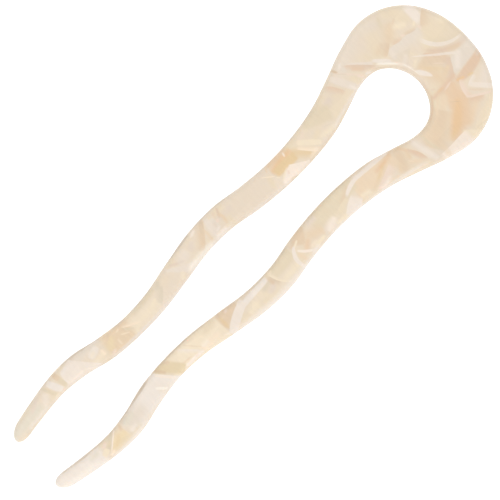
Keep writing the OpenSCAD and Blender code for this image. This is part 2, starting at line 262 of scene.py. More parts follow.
LEFT_PRONG = (
    # Neck
    Streak(OLIVE, (-8.5, 34.9), (-11.9, 27.4), 4.8, 0.0, FIRM, 0.0, 0.3),
    Streak(CREAM, (-5.6, 34.0), (-6.6, 28.0), 2.4, 0.0, SOFT, 0.2, 0.3, 0.8),
    Streak(STRAW, (-8.0, 30.0), (-6.6, 26.6), 2.4, 0.0, SOFT, 0.2, 0.4),
    Streak(BLUSH, (-10.5, 27.4), (-8.9, 24.4), 2.0, 0.0, SOFT, 0.2, 0.4, 0.4),
    Streak(HONEY, (-4.8, 25.6), (-8.8, 21.2), 3.6, 0.0, SOFT, 0.2, 0.2, 0.75),
    Streak(AMBER, (-9.3, 22.3), (-8.4, 15.0), 4.4, 0.0, SOFT, 0.3, 0.2),
    Streak(AMBER, (-9.0, 21.6), (-8.0, 16.0), 2.8, 0.0, SOFT, 0.3, 0.4, 0.7),
    Streak(HONEY, (-7.5, 22.4), (-7.7, 15.4), 3.0, 0.0, FIRM, 0.2, 0.25),
    Streak(APRICOT, (-10.5, 21.8), (-10.1, 14.4), 2.2, 0.0, SOFT, 0.2, 0.3),
    Streak(CREAM, (-9.6, 23.6), (-5.2, 28.4), 1.8, 0.0, FIRM, 0.2, 0.3),
    Streak(PEACH, (-8.8, 23.1), (-4.3, 27.1), 1.6, 0.0, RIGHT, 0.3, 0.3),
    Streak(PEACH, (-5.6, 26.8), (-4.4, 23.6), 1.6, 0.0, SOFT, 0.3, 0.4, 0.7),
    Streak(PEARL, (-7.4, 15.6), (-8.8, 2.0), 12.0, 0.0, FIRM, 0.0, 0.12, 0.85),
    Streak(SNOW, (-3.2, 23.0), (-6.0, 18.4), 3.0, 0.0, CRISP, 0.0, 0.2),
    Streak(SNOW, (-6.5, 19.7), (-4.4, 15.6), 2.5, 0.0, FIRM, 0.4, 0.25),
    Streak(BLUSH, (-6.5, 18.5), (-5.4, 17.9), 1.1, 0.0, SOFT, 0.5, 0.5, 0.9),
    Streak(CREAM, (-7.1, 18.8), (-5.4, 15.8), 0.8, 0.0, SOFT, 0.4, 0.3, 0.8),
    Streak(SNOW, (-10.2, 20.3), (-8.8, 19.9), 0.8, 0.0, SOFT, 0.5, 0.5),
    Streak(STRAW, (-9.4, 14.6), (-5.0, 13.4), 2.2, 0.0, SOFT, 0.4),
    Streak(BUFF, (-10.5, 15.2), (-9.0, 14.6), 0.9, 0.0, SOFT),
    Streak(PEACH, (-9.5, 12.7), (-7.3, 15.6), 0.45, 0.0, CRISP, 0.3, 0.3),
    Streak(CREAM, (-7.3, 15.2), (-6.3, 16.1), 0.4, 0.0, CRISP, 0.3, 0.3),
    # Middle bend
    Streak(MIST, (-9.8, 4.2), (-9.4, -1.0), 3.0, 0.0, SOFT, 0.2, 0.3, 0.8),
    Streak(ROSE, (-12.0, 1.3), (-9.4, 0.2), 1.2, 0.0, SOFT, 0.3, 0.4),
    Streak(DUSK, (-11.3, 1.0), (-9.6, 0.4), 0.9, 0.0, SOFT, 0.3, 0.5, 0.5),
    Streak(SAND, (-10.8, 0.8), (-7.2, 0.6), 1.5, 0.2, SOFT, 0.3, 0.4),
    Streak(STRAW, (-7.6, 0.6), (-6.2, -0.4), 1.2, 0.0, SOFT, 0.3, 0.5, 0.8),
    Streak(ROSE, (-11.8, 0.0), (-10.2, -0.6), 1.4, 0.0, SOFT, 0.3, 0.5, 0.5),
    Streak(GREY, (-11.2, -1.6), (-7.6, -1.6), 2.0, 0.0, FIRM, 0.2, 0.3),
    Streak(BLUSH, (-10.0, -0.3), (-9.0, -0.8), 0.9, 0.0, FIRM, 0.4),
    Streak(MIST, (-9.9, -1.4), (-8.6, -2.0), 1.3, 0.0, FIRM, 0.3, 0.4, 0.8),
    Streak(MILK, (-12.0, -2.2), (-6.6, -2.9), 2.2, -0.15, FIRM, 0.5, 0.2),
    Streak(WHITE, (-8.4, -0.8), (-7.8, -2.6), 0.9, 0.0, SOFT),
    Streak(SNOW, (-7.0, 0.0), (-6.9, -3.4), 1.9, 0.0, SOFT, 0.2, 0.3),
    Streak(TAN, (-13.0, -3.4), (-7.2, -8.2), 2.9, 0.0, LEFT, 0.2, 0.25),
    Streak(DUSK, (-12.4, -3.1), (-9.1, -5.5), 1.3, 0.0, FIRM, 0.3, 0.4, 0.8),
    Streak(TAN, (-10.4, -4.8), (-7.2, -7.0), 1.8, 0.0, SOFT, 0.3),
    Streak(SAND, (-10.8, -4.4), (-6.0, -4.5), 1.2, 0.0, LEFT, 0.2, 0.25, 0.8),
    Streak(STRAW, (-8.6, -5.1), (-7.0, -5.2), 0.9, 0.0, SOFT),
    Streak(SNOW, (-11.9, -5.4), (-11.1, -7.8), 1.3, 0.0, SOFT, 0.4, 0.5),
    Streak(MIST, (-10.6, -7.6), (-8.6, -9.8), 2.6, 0.0, SOFT, 0.2, 0.4),
    Streak(MILK, (-9.8, -9.8), (-8.4, -13.6), 4.6, 0.0, SOFT, 0.2, 0.3, 0.9),
    Streak(MIST, (-8.3, -11.6), (-10.2, -15.8), 1.1, 0.0, SOFT, 0.2, 0.4),
    Streak(ROSE, (-9.0, -13.2), (-10.1, -15.4), 1.0, 0.0, SOFT, 0.3, 0.4, 0.5),
    Streak(MILK, (-5.5, -10.9), (-10.1, -17.0), 2.0, 0.0, FIRM, 0.1, 0.2, lean=-0.5),
    Streak(SNOW, (-6.9, -9.6), (-5.9, -13.2), 1.6, 0.0, SOFT, 0.3),
    Streak(CREAM, (-7.4, -13.8), (-5.4, -15.4), 1.8, 0.0, SOFT, 0.3, 0.5, 0.8),
    # Below the middle bend
    Streak(CREAM, (-6.2, -22.0), (-6.2, -31.6), 5.0, 0.0, SOFT, 0.1, 0.2, 0.85),
    Streak(OLIVE, (-9.0, -20.8), (-8.4, -29.0), 3.0, 0.0, SOFT, 0.2, 0.3),
    Streak(KHAKI, (-9.6, -19.2), (-7.8, -21.2), 2.2, 0.0, SOFT, 0.3),
    Streak(KHAKI, (-8.7, -19.8), (-5.6, -22.9), 2.2, 0.0, LEFT, 0.2, 0.3, 0.9),
    Streak(CREAM, (-7.2, -22.2), (-6.2, -24.8), 1.2, 0.0, SOFT, 0.4),
    Streak(SAND, (-6.4, -30.0), (-7.2, -38.6), 9.0, 0.0, FIRM, 0.1, 0.4),
    Streak(WHEAT, (-8.5, -35.0), (-5.6, -38.0), 3.2, 0.0, SOFT, 0.2, 0.4),
    Streak(ROSE, (-9.2, -30.2), (-8.6, -33.2), 1.4, 0.0, SOFT, 0.3, 0.5, 0.7),
    Streak(TAN, (-9.2, -34.8), (-8.0, -37.0), 1.4, 0.0, SOFT, 0.3),
    Streak(PEACH, (-5.8, -28.0), (-8.2, -32.5), 1.0, 0.0, LEFT, 0.3, 0.3),
    Streak(CREAM, (-5.6, -28.6), (-4.6, -31.2), 1.2, 0.0, SOFT, 0.3),
    Streak(OLIVE, (-5.4, -30.2), (-7.8, -33.2), 1.1, 0.0, RIGHT, 0.3, 0.4),
    Streak(TAN, (-7.0, -32.2), (-8.0, -33.4), 1.0, 0.0, SOFT, 0.3),
    Streak(PEACH, (-5.8, -31.6), (-7.1, -33.8), 0.6, 0.0, FIRM, 0.4, 0.4, 0.6),
    Streak(PEACH, (-8.3, -32.8), (-7.9, -34.1), 0.8, 0.0, SOFT, strength=0.6),
    Streak(PEACH, (-7.0, -34.7), (-4.8, -34.8), 0.9, 0.0, SOFT, strength=0.6),
    Streak(BLUSH, (-5.6, -36.4), (-4.6, -38.2), 1.4, 0.0, SOFT, 0.3, 0.5, 0.8),
    # Tip
    Streak(GREY, (-10.0, -37.8), (-10.0, -47.0), 3.8, 0.0, SOFT, 0.2, 0.15),
    Streak(PEACH, (-7.9, -39.1), (-5.8, -39.0), 1.9, 0.0, SOFT, 0.3),
    Streak(CREAM, (-6.6, -39.0), (-6.6, -42.6), 2.2, 0.0, SOFT, 0.2, 0.3, 0.7),
    Streak(FROST, (-8.8, -39.0), (-7.9, -42.3), 2.4, 0.0, FIRM, 0.4, 0.25, 0.6),
    Streak(CREAM, (-8.4, -40.2), (-7.9, -42.0), 1.6, 0.0, SOFT, 0.4, 0.5, 0.5),
    Streak(MIST, (-11.2, -44.2), (-9.8, -47.0), 1.6, 0.0, SOFT, 0.4, 0.5, 0.8),
    Streak(WHITE, (-3.4, -42.4), (-10.4, -48.3), 5.0, 0.0, RIGHT, 0.0, 0.2, 0.9),
    Streak(WHITE, (-8.0, -45.0), (-8.8, -49.8), 5.4, 0.0, FIRM, 0.1, 0.2),
    Streak(FROST, (-10.6, -47.0), (-9.6, -49.4), 1.6, 0.0, SOFT, 0.2),
    Streak(SNOW, (-7.2, -44.5), (-7.3, -48.8), 1.0, 0.0, SOFT, 0.3),
    Streak(OLIVE, (-11.8, -50.6), (-7.0, -49.9), 1.5, 0.0, FIRM, 0.2, 0.4),
    Streak(TAN, (-11.8, -50.7), (-9.4, -50.2), 1.5, 0.0, FIRM, 0.1, 0.4),
    Streak(FROST, (-11.2, -53.0), (-7.1, -51.1), 2.2, 0.0, FIRM, 0.2, 0.25),
    Streak(OLIVE, (-10.9, -54.5), (-7.4, -52.9), 1.1, 0.0, FIRM, 0.3, 0.25),
    Streak(KHAKI, (-11.0, -54.6), (-9.2, -53.9), 0.8, 0.0, SOFT, 0.3),
    Streak(CREAM, (-7.6, -52.0), (-6.9, -54.4), 0.9, 0.0, SOFT, 0.3),
    Streak(WHITE, (-9.6, -54.2), (-7.2, -57.0), 2.8, 0.0, SOFT, 0.2, 0.4, 0.7),
    Streak(MOSS, (-8.4, -56.0), (-7.4, -69.0), 5.0, 0.0, SOFT, 0.1, 0.3),
    Streak(MIST, (-10.4, -56.0), (-8.4, -60.4), 1.8, 0.0, SOFT, 0.4, 0.4),
    Streak(FROST, (-7.3, -55.6), (-6.5, -63.4), 1.5, 0.0, SOFT, 0.2, 0.3, 0.5),
)

RIGHT_PRONG = (
    # Neck
    Streak(BUFF, (8.0, 37.4), (7.8, 25.0), 6.0, 0.0, FIRM, 0.1, 0.15),
    Streak(APRICOT, (7.1, 37.4), (7.9, 31.2), 2.1, 0.0, SOFT, 0.2, 0.3),
    Streak(AMBER, (7.5, 35.6), (7.9, 32.4), 1.4, 0.0, SOFT, 0.3, 0.5, 0.6),
    Streak(HONEY, (7.7, 34.4), (9.7, 30.0), 1.3, 0.0, SOFT, 0.3, 0.4, 0.6),
    Streak(SAND, (9.0, 31.6), (10.4, 28.6), 1.4, 0.0, SOFT, 0.3, 0.4, 0.7),
    Streak(BLUSH, (9.6, 36.0), (12.2, 29.4), 3.0, 0.0, RIGHT, 0.0, 0.3),
    Streak(SNOW, (10.6, 34.0), (11.6, 29.6), 1.8, 0.0, SOFT, 0.3, 0.4, 0.8),
    Streak(CREAM, (9.9, 28.6), (9.2, 25.2), 2.2, 0.0, SOFT, 0.2),
    Streak(WHITE, (6.4, 37.0), (5.6, 27.4), 1.4, -0.1, FIRM, 0.2, 0.2),
    Streak(OLIVE, (5.2, 27.0), (6.2, 13.0), 5.6, 0.0, FIRM, 0.1, 0.15),
    Streak(TAN, (5.0, 25.2), (7.3, 20.9), 1.5, 0.0, LEFT, 0.3, 0.3, 0.8),
    Streak(STRAW, (7.2, 23.4), (8.6, 19.0), 1.5, 0.0, FIRM, 0.2, 0.4),
    Streak(WHITE, (8.3, 25.3), (11.6, 20.4), 3.4, 0.0, CRISP, 0.2, 0.4),
    Streak(WHITE, (5.6, 29.5), (7.1, 23.1), 1.3, -0.6, FIRM, 0.3, 0.3),
    Streak(CREAM, (10.2, 21.2), (9.8, 17.4), 2.0, 0.0, SOFT, 0.2, 0.4),
    Streak(SNOW, (8.2, 18.6), (9.6, 14.8), 3.4, 0.0, SOFT, 0.4, 0.3),
    Streak(MIST, (5.2, 15.8), (5.1, 12.2), 2.4, 0.0, SOFT, 0.3),
    Streak(SAND, (8.6, 15.0), (6.8, 10.4), 4.6, 0.0, SOFT, 0.2, 0.3, 0.85),
    Streak(CREAM, (9.6, 14.4), (9.9, 10.2), 1.7, 0.0, SOFT, 0.3),
    Streak(APRICOT, (7.2, 11.1), (9.6, 8.2), 2.6, 0.0, SOFT, 0.3, 0.5, 0.8),
    Streak(TAN, (3.8, 11.2), (7.6, 8.4), 3.4, 0.0, FIRM, 0.3, 0.3),
    Streak(PEACH, (9.0, 12.4), (9.4, 9.6), 1.4, 0.0, SOFT, 0.3, 0.5, 0.6),
    Streak(SNOW, (10.1, 12.0), (10.6, 9.0), 1.3, 0.0, SOFT, 0.3, strength=0.8),
    Streak(TAN, (5.2, 9.4), (6.6, 6.0), 1.8, 0.0, SOFT, 0.3),
    Streak(BUFF, (8.0, 6.9), (11.4, 7.6), 2.0, 0.0, SOFT, 0.4, 0.3),
    Streak(CREAM, (5.9, 9.0), (7.0, 6.6), 0.7, 0.0, FIRM, 0.4, 0.4),
    # Middle bend
    Streak(OLIVE, (6.8, 6.2), (7.4, -0.6), 4.4, 0.0, FIRM, 0.1, 0.15),
    Streak(CREAM, (10.0, 6.0), (10.2, 0.4), 3.2, 0.0, SOFT, 0.2, 0.2, 0.8),
    Streak(WHITE, (6.2, 7.4), (11.8, 6.1), 1.2, -1.0, CRISP, 0.2, 0.2),
    Streak(SNOW, (7.4, 7.0), (10.3, 10.3), 0.85, -0.3, FIRM, 0.3, 0.3),
    Streak(SNOW, (10.2, 5.8), (12.0, 5.8), 1.1, 0.0, SOFT, 0.3),
    Streak(MIST, (9.0, -0.8), (10.2, -4.2), 2.8, 0.0, SOFT, 0.2),
    Streak(DUSK, (7.3, -2.4), (10.6, -0.3), 2.2, 0.0, LEFT, 0.2, 0.5),
    Streak(UMBER, (7.3, -2.4), (9.4, -1.3), 1.6, 0.0, SOFT, 0.3, 0.4, 0.6),
    Streak(KHAKI, (8.0, -1.6), (8.7, -5.0), 2.2, 0.0, SOFT, 0.3),
    Streak(CREAM, (6.4, -1.0), (12.0, 2.3), 1.0, -0.7, RIGHT, 0.2, 0.2),
    Streak(CREAM, (6.7, 0.2), (7.0, -1.4), 1.3, 0.0, SOFT),
    Streak(CREAM, (9.8, -6.6), (10.0, -10.4), 3.4, 0.0, SOFT, 0.2, 0.4, 0.8),
    Streak(TAN, (6.2, -10.6), (7.0, -16.6), 5.0, 0.0, FIRM, 0.0, 0.15),
    Streak(HONEY, (5.6, -15.4), (9.6, -15.6), 1.5, 0.0, SOFT, 0.3, 0.3, 0.7),
    Streak(BLUSH, (5.5, -12.7), (6.2, -14.2), 1.1, 0.0, SOFT, 0.4, 0.5, 0.8),
    Streak(FROST, (7.2, -1.8), (7.8, -11.0), 1.9, -0.1, FIRM, 0.2, 0.15),
    Streak(WHITE, (6.9, -8.8), (10.9, -16.2), 2.4, -0.35, CRISP, 0.2, 0.15),
    # Below the middle bend
    Streak(CREAM, (7.4, -15.9), (7.0, -31.6), 10.0, 0.0, FIRM, 0.0, 0.08, 0.85),
    Streak(STRAW, (5.6, -16.4), (6.0, -21.2), 2.8, 0.0, SOFT, 0.2, 0.3),
    Streak(PEACH, (8.2, -17.4), (8.2, -23.4), 2.8, 0.0, SOFT, 0.2, 0.3),
    Streak(CHALK, (7.8, -20.4), (7.6, -23.0), 2.2, 0.0, SOFT, 0.3, 0.5, 0.4),
    Streak(SNOW, (10.1, -16.2), (9.3, -17.7), 0.4, 0.0, CRISP, 0.3, 0.3),
    Streak(TAN, (4.3, -25.8), (7.8, -22.6), 0.6, 0.0, SOFT, 0.2, 0.3, 0.5),
    Streak(WHITE, (4.4, -27.5), (9.0, -23.2), 1.3, 0.0, LEFT, 0.2, 0.2, 0.85),
    Streak(SNOW, (8.5, -22.8), (8.4, -28.4), 1.1, 0.0, FIRM, 0.2, 0.2),
    Streak(FAWN, (2.6, -33.8), (8.7, -28.7), 3.4, 0.0, FIRM, 0.0, 0.1),
    Streak(BUFF, (7.6, -25.6), (7.4, -28.6), 0.8, 0.0, SOFT, 0.3, 0.5, 0.9),
    Streak(TAN, (3.9, -31.6), (5.3, -30.2), 1.4, 0.0, SOFT, 0.3),
    Streak(UMBER, (3.8, -34.4), (6.4, -32.2), 1.4, 0.0, SOFT, 0.2, 0.4, 0.8),
    Streak(FROST, (3.4, -39.2), (12.0, -32.0), 6.0, 0.0, LEFT, 0.0, 0.1),
    Streak(FROST, (7.0, -35.0), (7.6, -46.0), 8.0, 0.0, FIRM, 0.0, 0.4),
    Streak(SNOW, (4.5, -35.0), (8.7, -31.5), 0.85, 0.0, FIRM, 0.2, 0.2),
    Streak(CHALK, (6.9, -36.7), (9.0, -34.5), 0.9, 0.0, FIRM, 0.3, 0.3, 0.8),
    Streak(GREY, (8.0, -39.6), (8.2, -48.6), 6.4, 0.0, SOFT, 0.1, 0.7),
    Streak(MOSS, (7.0, -43.4), (7.8, -47.6), 2.6, 0.0, SOFT, 0.2, 0.4),
    Streak(WHITE, (9.4, -44.8), (9.8, -47.4), 2.0, 0.0, SOFT, 0.3),
    # Tip
    Streak(WHEAT, (8.8, -47.5), (9.6, -53.8), 5.4, 0.0, SOFT, 0.1, 0.2),
    Streak(TAN, (6.6, -47.9), (8.5, -48.6), 1.4, 0.0, SOFT, 0.3),
    Streak(HONEY, (8.0, -49.0), (10.2, -52.2), 1.6, 0.0, SOFT, 0.3, 0.4, 0.3),
    Streak(KHAKI, (6.1, -50.3), (9.2, -54.1), 2.0, 0.0, LEFT, 0.2, 0.3),
    Streak(FAWN, (7.6, -51.6), (9.2, -53.4), 1.0, 0.0, SOFT, 0.3, 0.5, 0.6),
    Streak(BLUSH, (7.2, -52.6), (8.4, -54.4), 1.4, 0.0, SOFT, 0.3),
    Streak(FROST, (8.6, -54.0), (7.0, -70.0), 9.0, 0.0, FIRM, 0.0, 0.2),
    Streak(CREAM, (8.8, -53.4), (9.7, -55.4), 1.7, 0.0, FIRM, 0.2, 0.3),
    Streak(PEACH, (10.0, -52.4), (10.6, -54.2), 1.3, 0.0, SOFT, 0.3),
    Streak(SNOW, (6.8, -49.5), (10.1, -53.6), 0.5, 0.0, CRISP, 0.2, 0.2),
    Streak(MOSS, (8.2, -55.2), (7.8, -58.6), 2.2, 0.0, SOFT, 0.2, 0.4, 0.7),
    Streak(CHALK, (9.6, -56.0), (7.8, -67.0), 2.0, 0.0, SOFT, 0.2, 0.3, 0.4),
)

EDGE_SHADE_AND_HIGHLIGHT = (
    # Painted shade: a thin dark line along the rounded edges that face -X, away from the key lamp,
    # left prong and then right
    Streak(SHADE, (-12.75, 34.5), (-11.05, 9.0), 0.8, 1.2, FIRM, 0.2, 0.3, 0.5),
    Streak(SHADE, (-11.35, 7.5), (-12.1, -7.5), 0.8, -0.6, FIRM, 0.2, 0.3, 0.7),
    Streak(SHADE, (-12.2, -6.5), (-10.4, -17.5), 0.9, -0.1, FIRM, 0.2, 0.3),
    Streak(SHADE, (-10.1, -18.5), (-9.2, -35.0), 0.8, 0.6, FIRM, 0.2, 0.25, 0.7),
    Streak(SHADE, (-9.65, -37.0), (-11.5, -49.0), 0.8, -0.35, FIRM, 0.2, 0.25, 0.9),
    Streak(SHADE, (-11.45, -50.0), (-9.7, -62.0), 0.7, -0.25, FIRM, 0.2, 0.4, 0.35),
    Streak(SHADE, (5.45, 34.5), (4.8, 9.0), 0.8, -1.1, FIRM, 0.2, 0.3, 0.4),
    Streak(SHADE, (4.95, 7.5), (4.9, -15.5), 0.8, 1.45, FIRM, 0.2, 0.3, 0.5),
    Streak(SHADE, (4.8, -16.5), (4.2, -35.5), 0.8, -0.6, FIRM, 0.2, 0.25, 0.7),
    Streak(SHADE, (4.25, -36.0), (6.55, -48.5), 0.8, 0.1, FIRM, 0.2, 0.25, 0.9),
    Streak(SHADE, (6.75, -48.5), (5.4, -65.5), 0.8, 0.5, FIRM, 0.2, 0.2, 0.75),
    # Painted highlight: a pale band along the rounded edges that face +X, towards the key lamp,
    # left prong and then right
    Streak(FROST, (-8.8, 46.8), (-5.3, 31.0), 1.6, -0.4, SOFT, 0.2, 0.3, 0.7),
    Streak(FROST, (-4.1, 18.5), (-5.9, 2.5), 1.5, 0.3, SOFT, 0.2, 0.3, 0.7),
    Streak(FROST, (-6.3, 2.0), (-5.2, -14.5), 2.4, -0.5, SOFT, 0.2, 0.3, 0.9),
    Streak(CHALK, (-6.6, -3.6), (-6.2, -13.5), 3.2, -0.1, SOFT, 0.2, 0.4, 0.6),
    Streak(FROST, (-5.3, -12.5), (-4.6, -39.5), 1.8, 0.95, SOFT, 0.2, 0.15, 0.9),
    Streak(FROST, (-5.0, -40.0), (-5.8, -64.0), 1.4, -1.45, SOFT, 0.2, 0.2, 0.5),
    Streak(FROST, (14.3, 42.0), (10.5, 14.0), 1.6, -0.85, SOFT, 0.2, 0.2, 0.7),
    Streak(FROST, (10.6, 12.5), (11.0, -15.0), 3.4, 1.35, SOFT, 0.2, 0.2, 0.8),
    Streak(FROST, (10.3, -41.5), (10.9, -54.5), 2.0, 0.8, SOFT, 0.2, 0.3, 0.8),
)


def linear(level: float) -> float:
    """Returns a colour level from 0 to 255 as linear light from 0 to 1."""
    share = level / 255
    return share / 12.92 if share < 0.04045 else ((share + 0.055) / 1.055) ** 2.4


class Wiring:
    """Adds nodes to a node tree and joins their sockets."""

    def __init__(self, tree: bpy.types.NodeTree) -> None:
        """Keeps the tree that the nodes go into.

        Args:
            tree: The material's or the group's node tree.
        """
        self.tree = tree

    def add(self, kind: str, **settings: object) -> bpy.types.Node:
        """Adds a node and sets its properties.

        Args:
            kind: The node's type, such as ShaderNodeMath.
            settings: Properties of the node and their values.

        Returns:
            The new node.
        """
        node = self.tree.nodes.new(kind)
        for name, value in settings.items():
            setattr(node, name, value)
        return node

    def feed(self, socket: bpy.types.NodeSocket, source: object) -> None:
        """Links an output to an input socket, or sets the input's own value.

        Args:
            socket: The input socket.
            source: An output socket, a number, or the numbers of a vector or colour.
        """
        if isinstance(source, bpy.types.NodeSocket):
            self.tree.links.new(source, socket)
        else:
            socket.default_value = source

    def sum_node(self, kind: str, operation: str, sources: tuple[object, ...]) -> bpy.types.Node:
        """Adds a node that does sums, and feeds its inputs.

        Args:
            kind: The node's type.
            operation: The sum that it does.
            sources: Its inputs, in order.

        Returns:
            The new node.
        """
        node = self.add(kind, operation=operation)
        for socket, source in zip(node.inputs, sources):
            self.feed(socket, source)
        return node

    def math(self, operation: str, *sources: object) -> bpy.types.NodeSocket:
        """Works out a number from one to three others.

        Args:
            operation: The Math node's operation.
            sources: Its inputs, in order.

        Returns:
            The result's socket.
        """
        return self.sum_node("ShaderNodeMath", operation, sources).outputs["Value"]

    def vector(self, operation: str, *sources: object) -> bpy.types.NodeSocket:
        """Works out a vector, or the number that a dot product gives, from one or two vectors.

        Args:
            operation: The Vector Math node's operation.
            sources: Its inputs, in order.

        Returns:
            The result's socket.
        """
        node = self.sum_node("ShaderNodeVectorMath", operation, sources)
        return node.outputs["Value" if operation == "DOT_PRODUCT" else "Vector"]

    def scaled(self, place: bpy.types.NodeSocket, factor: object) -> bpy.types.NodeSocket:
        """Multiplies a vector by one number.

        Args:
            place: The vector.
            factor: The number, or the socket that holds it.

        Returns:
            The longer or shorter vector's socket.
        """
        node = self.add("ShaderNodeVectorMath", operation="SCALE")
        self.feed(node.inputs[0], place)
        self.feed(node.inputs["Scale"], factor)
        return node.outputs["Vector"]

    def turned(self, place: bpy.types.NodeSocket, degrees: float,
               stretch: XYZ) -> bpy.types.NodeSocket:
        """Stretches a vector and turns it about Z.

        Args:
            place: The vector.
            degrees: How far it turns.
            stretch: What its parts are multiplied by before the turn.

        Returns:
            The turned vector's socket.
        """
        node = self.add("ShaderNodeMapping")
        self.feed(node.inputs["Vector"], place)
        node.inputs["Rotation"].default_value = (0.0, 0.0, math.radians(degrees))
        node.inputs["Scale"].default_value = stretch
        return node.outputs["Vector"]

    def ease(self, value: object, start: object, stop: object) -> bpy.types.NodeSocket:
        """Rises smoothly from 0 to 1 as a value goes from start to stop.

        Args:
            value: The value.
            start: Where the rise starts.
            stop: Where it is complete.

        Returns:
            The eased share's socket.
        """
        node = self.add("ShaderNodeMapRange", interpolation_type="SMOOTHSTEP", clamp=False)
        self.feed(node.inputs["Value"], value)
        self.feed(node.inputs["From Min"], start)
        self.feed(node.inputs["From Max"], stop)
        return node.outputs["Result"]

    def mix(self, share: object, first: object, second: object) -> bpy.types.NodeSocket:
        """Mixes two colours.

        Args:
            share: How much of the second colour shows, from 0 to 1.
            first: The first colour.
            second: The second colour.

        Returns:
            The mixed colour's socket.
        """
        node = self.add("ShaderNodeMix", data_type="RGBA")
        sockets = {socket.identifier: socket for socket in (*node.inputs, *node.outputs)}
        self.feed(sockets["Factor_Float"], share)
        self.feed(sockets["A_Color"], first)
        self.feed(sockets["B_Color"], second)
        return sockets["Result_Color"]

    def noise(self, place: bpy.types.NodeSocket, scale: float, detail: float,
              roughness: float) -> bpy.types.Node:
        """Adds a noise texture.

        Args:
            place: The vector that it is read at.
            scale: How many features it has to the unit.
            detail: How many finer octaves it has.
            roughness: How strong the finer octaves are.

        Returns:
            The Noise Texture node.
        """
        node = self.add("ShaderNodeTexNoise")
        settings = {"Vector": place, "Scale": scale, "Detail": detail, "Roughness": roughness}
        for name, source in settings.items():
            self.feed(node.inputs[name], source)
        return node


class NodeGroup:
    """A shader node group with named sockets, which subclasses fill with nodes."""

    title = ""
    inputs: tuple[tuple[str, str], ...] = ()
    outputs: tuple[tuple[str, str], ...] = ()

    def __init__(self) -> None:
        """Makes the group, its sockets and its nodes."""
        self.tree = bpy.data.node_groups.new(self.title, "ShaderNodeTree")
        for direction, sockets in (("INPUT", self.inputs), ("OUTPUT", self.outputs)):
            for name, kind in sockets:
                self.tree.interface.new_socket(name, in_out=direction, socket_type=kind)
        self.wiring = Wiring(self.tree)
        self.given = self.wiring.add("NodeGroupInput").outputs
        self.made = self.wiring.add("NodeGroupOutput").inputs
        self.fill()

    def fill(self) -> None:
        """Adds the nodes between the group's inputs and outputs."""
        raise NotImplementedError

    def place(self, wiring: Wiring, **sources: object) -> bpy.types.Node:
        """Puts the group into a material and feeds its inputs.

        Args:
            wiring: The material's wiring.
            sources: The inputs' sources by name, with underscores for spaces.

        Returns:
            The group's node.
        """
        node = wiring.add("ShaderNodeGroup", node_tree=self.tree)
        for name, source in sources.items():
            wiring.feed(node.inputs[name.replace("_", " ")], source)
        return node


class StreakGroup(NodeGroup):
    """Lays one streak of pearl over the sheet's colour."""

    title = "Pearl streak"
    inputs = (
        ("Sheet", "NodeSocketColor"),
        ("Place", "NodeSocketVector"),
        ("Middle", "NodeSocketVector"),
        ("Along", "NodeSocketVector"),
        ("Across", "NodeSocketVector"),
        ("Reach", "NodeSocketFloat"),
        ("Bend", "NodeSocketFloat"),
        ("Taper", "NodeSocketFloat"),
        ("Lean", "NodeSocketFloat"),
        ("Left fade", "NodeSocketFloat"),
        ("Right fade", "NodeSocketFloat"),
        ("End fade", "NodeSocketFloat"),
        ("Strength", "NodeSocketFloat"),
        ("Tint", "NodeSocketColor"),
    )
    outputs = (("Sheet", "NodeSocketColor"),)

    def fill(self) -> None:
        """Masks the streak by how far a place is along its run and across it."""
        w, given = self.wiring, self.given
        offset = w.vector("SUBTRACT", given["Place"], given["Middle"])
        along = w.vector("DOT_PRODUCT", offset, given["Along"])
        across = w.vector("DOT_PRODUCT", offset, given["Across"])
        from_middle = w.math("MULTIPLY", along, along)
        bow = w.math("MULTIPLY", given["Bend"], w.math("SUBTRACT", 1.0, from_middle))
        side = w.math("SUBTRACT", across, bow)
        narrowing = w.math("SUBTRACT", 1.0, w.math("MULTIPLY", given["Taper"], from_middle))
        fullness = w.math("MULTIPLY_ADD", given["Lean"], along, narrowing)
        reach = w.math("MULTIPLY", given["Reach"], fullness)
        left = w.ease(w.math("SUBTRACT", reach, side), 0.0, given["Left fade"])
        right = w.ease(w.math("ADD", reach, side), 0.0, given["Right fade"])
        ends = w.ease(w.math("SUBTRACT", 1.0, w.math("ABSOLUTE", along)), 0.0, given["End fade"])
        mask = w.math("MULTIPLY", w.math("MULTIPLY", left, right), ends)
        share = w.math("MULTIPLY", mask, given["Strength"])
        w.feed(self.made["Sheet"], w.mix(share, given["Sheet"], given["Tint"]))


